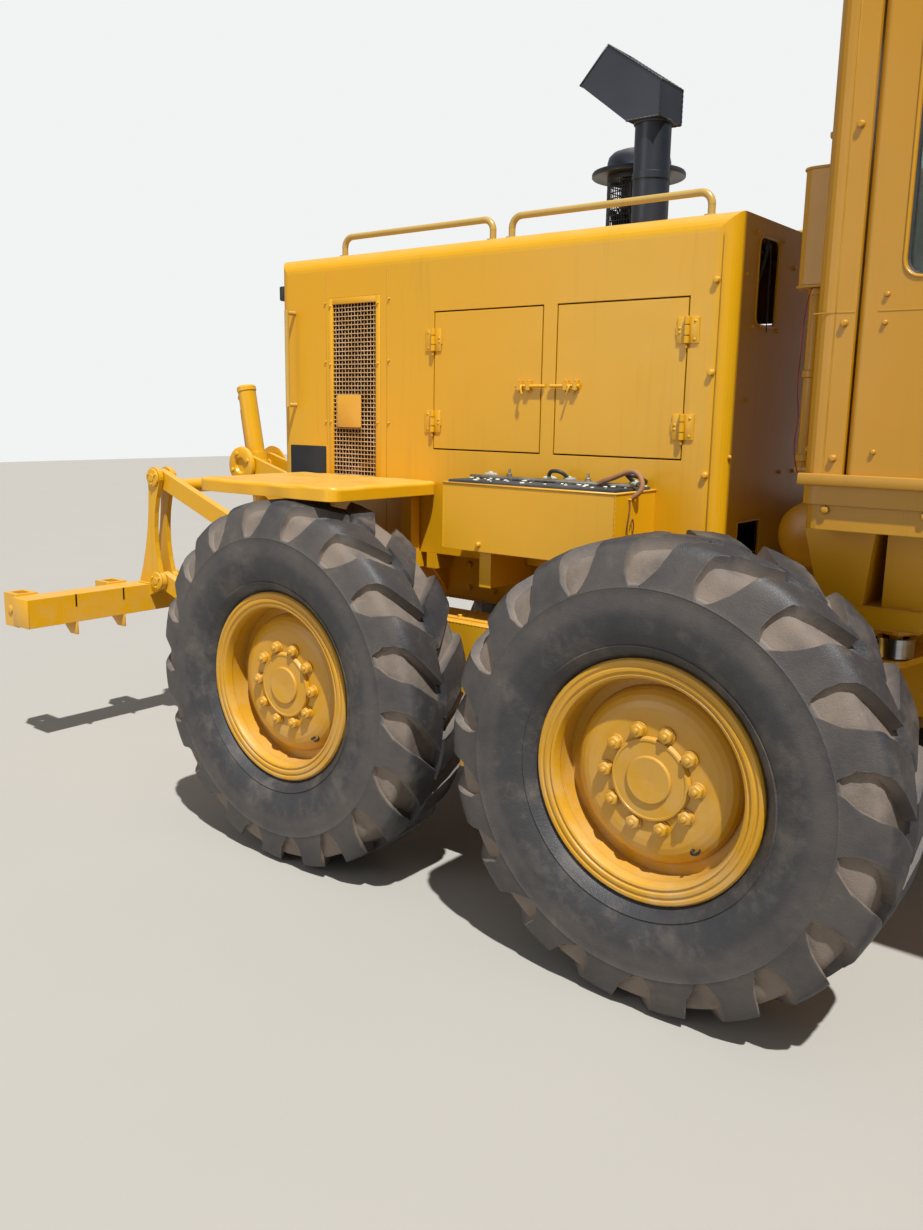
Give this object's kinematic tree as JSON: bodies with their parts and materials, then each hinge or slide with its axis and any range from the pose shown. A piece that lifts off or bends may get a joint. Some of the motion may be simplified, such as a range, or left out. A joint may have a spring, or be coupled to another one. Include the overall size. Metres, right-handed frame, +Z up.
{
  "type": "motor grader",
  "caption": "Six-wheel articulated motor grader with a turning blade under an arched frame, leaning front wheels, closed cab, rear engine hood and a rear ripper beam.",
  "frame": {"origin": "on the ground at the centre of the bounding box", "axes": "+X forward, towards the front wheels; +Y the machine's left; +Z up"},
  "size_m": [9.4646, 3.66, 3.5066],
  "materials": {
    "yellow_paint": "worn yellow paint",
    "shade_paint": "worn yellow paint, duller",
    "tyre_rubber": "dusty black rubber",
    "black_paint": "flat black paint",
    "black_plastic": "matte black",
    "seat_fabric": "dark grey cloth",
    "rod_steel": "bare steel",
    "window_glass": "clear tinted glass",
    "lamp_housing": "black lamp bodies"
  },
  "bodies": {
    "rear_body": {"rear_frame": "yellow_paint", "engine": "shade_paint", "hood": "yellow_paint", "grilles": "shade_paint", "hood_rails": "yellow_paint", "exhaust_stack": "black_paint", "precleaner": "black_paint", "battery_box": "yellow_paint", "batteries": "black_plastic", "fender_plates": "yellow_paint", "tandem_drive": "yellow_paint"},
    "front_body": {"main_frame": "yellow_paint", "cab_shell": "yellow_paint", "cab_glass": "window_glass", "cab_interior": "black_plastic", "seat": "seat_fabric", "hydraulic_tank": "yellow_paint", "lamps": "lamp_housing", "front_axle": "yellow_paint", "lean_barrel": "yellow_paint"},
    "engine_door_right_rear": {"engine_door_right_rear": "yellow_paint"},
    "engine_door_right_front": {"engine_door_right_front": "yellow_paint"},
    "engine_door_left_rear": {"engine_door_left_rear": "yellow_paint"},
    "engine_door_left_front": {"engine_door_left_front": "yellow_paint"},
    "cab_door_right": {"cab_door_right": "yellow_paint"},
    "cab_door_left": {"cab_door_left": "yellow_paint"},
    "lean_bracket_right": {"lean_bracket_right": "yellow_paint"},
    "lean_bracket_left": {"lean_bracket_left": "yellow_paint"},
    "lean_bar": {"lean_bar": "yellow_paint"},
    "knuckle_right": {"knuckle_right": "yellow_paint"},
    "knuckle_left": {"knuckle_left": "yellow_paint"},
    "tie_rod_end": {"tie_rod_end": "rod_steel"},
    "tie_rod": {"tie_rod": "rod_steel"},
    "lean_rod": {"lean_rod": "rod_steel"},
    "drawbar": {"drawbar": "yellow_paint"},
    "circle": {"circle": "yellow_paint"},
    "moldboard": {"moldboard": "yellow_paint"},
    "lift_barrels": {"lift_barrels": "yellow_paint"},
    "lift_rods": {"lift_rods": "rod_steel"},
    "ripper_lower_link": {"ripper_lower_link": "yellow_paint"},
    "ripper_upper_link": {"ripper_upper_link": "yellow_paint"},
    "ripper_beam": {"ripper_beam": "yellow_paint"},
    "ripper_barrel": {"ripper_barrel": "yellow_paint"},
    "ripper_rod": {"ripper_rod": "rod_steel"},
    "articulation_barrel_right": {"articulation_barrel_right": "yellow_paint"},
    "articulation_barrel_left": {"articulation_barrel_left": "yellow_paint"},
    "articulation_rod_right": {"articulation_rod_right": "rod_steel"},
    "articulation_rod_left": {"articulation_rod_left": "rod_steel"},
    "road_wheel_right_rear": {"wheel_right_rear": "yellow_paint", "tyre_right_rear": "tyre_rubber"},
    "road_wheel_right_middle": {"wheel_right_middle": "yellow_paint", "tyre_right_middle": "tyre_rubber"},
    "road_wheel_left_rear": {"wheel_left_rear": "yellow_paint", "tyre_left_rear": "tyre_rubber"},
    "road_wheel_left_middle": {"wheel_left_middle": "yellow_paint", "tyre_left_middle": "tyre_rubber"},
    "road_wheel_right_front": {"wheel_right_front": "yellow_paint", "tyre_right_front": "tyre_rubber"},
    "road_wheel_left_front": {"wheel_left_front": "yellow_paint", "tyre_left_front": "tyre_rubber"}
  },
  "joints": [
    {"name": "articulation", "type": "hinge", "parent": "rear_body", "child": "front_body", "pos_m": [-1.0225, 0, 0], "axis": [0, 0, 1], "range_deg": [-20, 20]},
    {"name": "articulation_swing_left", "type": "hinge", "parent": "rear_body", "child": "articulation_barrel_left", "pos_m": [-1.6225, 0.605, 1.03], "axis": [0, 0, 1], "range_deg": [-6.5, 6.5]},
    {"name": "articulation_rod_left_travel", "type": "slide", "parent": "articulation_barrel_left", "child": "articulation_rod_left", "axis": [0.9886, -0.1509, 0], "range_m": [-0.178, 0.178]},
    {"name": "articulation_swing_right", "type": "hinge", "parent": "rear_body", "child": "articulation_barrel_right", "pos_m": [-1.6225, -0.605, 1.03], "axis": [0, 0, 1], "range_deg": [-6.5, 6.5]},
    {"name": "articulation_rod_right_travel", "type": "slide", "parent": "articulation_barrel_right", "child": "articulation_rod_right", "axis": [0.9886, 0.1509, 0], "range_m": [-0.178, 0.178]},
    {"name": "spin_right_rear", "type": "hinge", "parent": "rear_body", "child": "road_wheel_right_rear", "pos_m": [-2.6275, -0.998, 0.685], "axis": [0, 1, 0], "continuous": true},
    {"name": "spin_right_middle", "type": "hinge", "parent": "rear_body", "child": "road_wheel_right_middle", "pos_m": [-1.1175, -0.998, 0.685], "axis": [0, 1, 0], "continuous": true},
    {"name": "spin_left_rear", "type": "hinge", "parent": "rear_body", "child": "road_wheel_left_rear", "pos_m": [-2.6275, 0.998, 0.685], "axis": [0, 1, 0], "continuous": true},
    {"name": "spin_left_middle", "type": "hinge", "parent": "rear_body", "child": "road_wheel_left_middle", "pos_m": [-1.1175, 0.998, 0.685], "axis": [0, 1, 0], "continuous": true},
    {"name": "engine_door_right_rear_swing", "type": "hinge", "parent": "rear_body", "child": "engine_door_right_rear", "pos_m": [-2.405, -0.539, 1.8], "axis": [0, 0, -1], "range_deg": [0, 110]},
    {"name": "engine_door_right_front_swing", "type": "hinge", "parent": "rear_body", "child": "engine_door_right_front", "pos_m": [-1.365, -0.539, 1.8], "axis": [0, 0, 1], "range_deg": [0, 110]},
    {"name": "engine_door_left_rear_swing", "type": "hinge", "parent": "rear_body", "child": "engine_door_left_rear", "pos_m": [-2.405, 0.539, 1.8], "axis": [0, 0, -1], "range_deg": [-110, 0]},
    {"name": "engine_door_left_front_swing", "type": "hinge", "parent": "rear_body", "child": "engine_door_left_front", "pos_m": [-1.365, 0.539, 1.8], "axis": [0, 0, 1], "range_deg": [-110, 0]},
    {"name": "cab_door_right_swing", "type": "hinge", "parent": "front_body", "child": "cab_door_right", "pos_m": [-0.745, -0.7375, 2.35], "axis": [0, 0, -1], "range_deg": [0, 100]},
    {"name": "cab_door_left_swing", "type": "hinge", "parent": "front_body", "child": "cab_door_left", "pos_m": [-0.745, 0.7375, 2.35], "axis": [0, 0, -1], "range_deg": [-100, 0]},
    {"name": "lean", "type": "hinge", "parent": "front_body", "child": "lean_bracket_left", "pos_m": [4.0475, 0.6, 0.62], "axis": [1, 0, 0], "range_deg": [-18, 18]},
    {"name": "lean_right", "type": "hinge", "parent": "front_body", "child": "lean_bracket_right", "pos_m": [4.0475, -0.6, 0.62], "axis": [1, 0, 0], "range_deg": [-18.2, 18.2]},
    {"name": "lean_bar_level", "type": "hinge", "parent": "lean_bracket_left", "child": "lean_bar", "pos_m": [4.1875, 0.6, 0.98], "axis": [1, 0, 0], "range_deg": [-18.2, 18.2]},
    {"name": "lean_rod_travel", "type": "slide", "parent": "front_body", "child": "lean_rod", "axis": [0, 0.9992, 0.0388], "range_m": [-0.057, 0.057]},
    {"name": "steer", "type": "hinge", "parent": "lean_bracket_left", "child": "knuckle_left", "pos_m": [4.0475, 0.7, 0.668], "axis": [0, 0, 1], "range_deg": [-50, 50]},
    {"name": "steer_right", "type": "hinge", "parent": "lean_bracket_right", "child": "knuckle_right", "pos_m": [4.0475, -0.7, 0.668], "axis": [0, 0, 1], "range_deg": [-50.3, 50.3]},
    {"name": "tie_rod_swivel", "type": "hinge", "parent": "knuckle_left", "child": "tie_rod_end", "pos_m": [3.7975, 0.7, 0.565], "axis": [0, 0, 1], "range_deg": [-50.3, 50.3]},
    {"name": "tie_rod_level", "type": "hinge", "parent": "tie_rod_end", "child": "tie_rod", "pos_m": [3.7975, 0.7, 0.612], "axis": [1, 0, 0], "range_deg": [-15.7, 15.7]},
    {"name": "spin_left_front", "type": "hinge", "parent": "knuckle_left", "child": "road_wheel_left_front", "pos_m": [4.0475, 0.998, 0.685], "axis": [0, 1, 0], "continuous": true},
    {"name": "spin_right_front", "type": "hinge", "parent": "knuckle_right", "child": "road_wheel_right_front", "pos_m": [4.0475, -0.998, 0.685], "axis": [0, 1, 0], "continuous": true},
    {"name": "drawbar_lift", "type": "hinge", "parent": "front_body", "child": "drawbar", "pos_m": [3.6875, 0, 0.9], "axis": [0, 1, 0], "range_deg": [-15, 9.5]},
    {"name": "lift_barrels_swing", "type": "hinge", "parent": "front_body", "child": "lift_barrels", "pos_m": [1.6475, 0, 2], "axis": [0, 1, 0], "range_deg": [-7.6, 4.9]},
    {"name": "lift_rods_travel", "type": "slide", "parent": "lift_barrels", "child": "lift_rods", "axis": [-0.2816, 0, -0.9595], "range_m": [-0.376, 0.592]},
    {"name": "circle_turn", "type": "hinge", "parent": "drawbar", "child": "circle", "pos_m": [1.5475, 0, 0.945], "axis": [0, 0, 1], "range_deg": [-180, 180]},
    {"name": "blade_sideshift", "type": "slide", "parent": "circle", "child": "moldboard", "axis": [0, 1, 0], "range_m": [-0.51, 0.66]},
    {"name": "ripper_lift", "type": "hinge", "parent": "rear_body", "child": "ripper_lower_link", "pos_m": [-3.6225, 0, 0.51], "axis": [0, -1, 0], "range_deg": [-8, 38]},
    {"name": "ripper_upper_swing", "type": "hinge", "parent": "rear_body", "child": "ripper_upper_link", "pos_m": [-3.6225, 0, 1.05], "axis": [0, -1, 0], "range_deg": [-8.2, 38.3]},
    {"name": "ripper_beam_level", "type": "hinge", "parent": "ripper_lower_link", "child": "ripper_beam", "pos_m": [-4.4025, 0, 0.79], "axis": [0, -1, 0], "range_deg": [-38.3, 8.2]},
    {"name": "ripper_barrel_swing", "type": "hinge", "parent": "rear_body", "child": "ripper_barrel", "pos_m": [-4.0525, 0, 1.4], "axis": [0, -1, 0], "range_deg": [-2.9, 0.7]},
    {"name": "ripper_rod_travel", "type": "slide", "parent": "ripper_barrel", "child": "ripper_rod", "axis": [0.1961, 0, -0.9806], "range_m": [-0.039, 0.179]}
  ],
  "couplings": [
    {"joint": "articulation_swing_left", "follows": "articulation", "ratio": 0.2894},
    {"joint": "articulation_swing_right", "follows": "articulation", "ratio": 0.2894},
    {"joint": "articulation_rod_left_travel", "follows": "articulation", "m_per_rad": -0.50704},
    {"joint": "articulation_rod_right_travel", "follows": "articulation", "m_per_rad": 0.50704},
    {"joint": "lean_right", "follows": "lean", "ratio": 1},
    {"joint": "lean_bar_level", "follows": "lean", "ratio": -1},
    {"joint": "lean_rod_travel", "follows": "lean", "m_per_rad": -0.17704},
    {"joint": "tie_rod_level", "follows": "lean", "ratio": -0.8586},
    {"joint": "steer_right", "follows": "steer", "ratio": 1},
    {"joint": "tie_rod_swivel", "follows": "steer", "ratio": -1},
    {"joint": "lift_barrels_swing", "follows": "drawbar_lift", "ratio": 0.4988},
    {"joint": "lift_rods_travel", "follows": "drawbar_lift", "m_per_rad": -2.2508},
    {"joint": "ripper_upper_swing", "follows": "ripper_lift", "ratio": 1},
    {"joint": "ripper_beam_level", "follows": "ripper_lift", "ratio": -1},
    {"joint": "ripper_barrel_swing", "follows": "ripper_lift", "ratio": -0.0729},
    {"joint": "ripper_rod_travel", "follows": "ripper_lift", "m_per_rad": 0.26697}
  ]
}
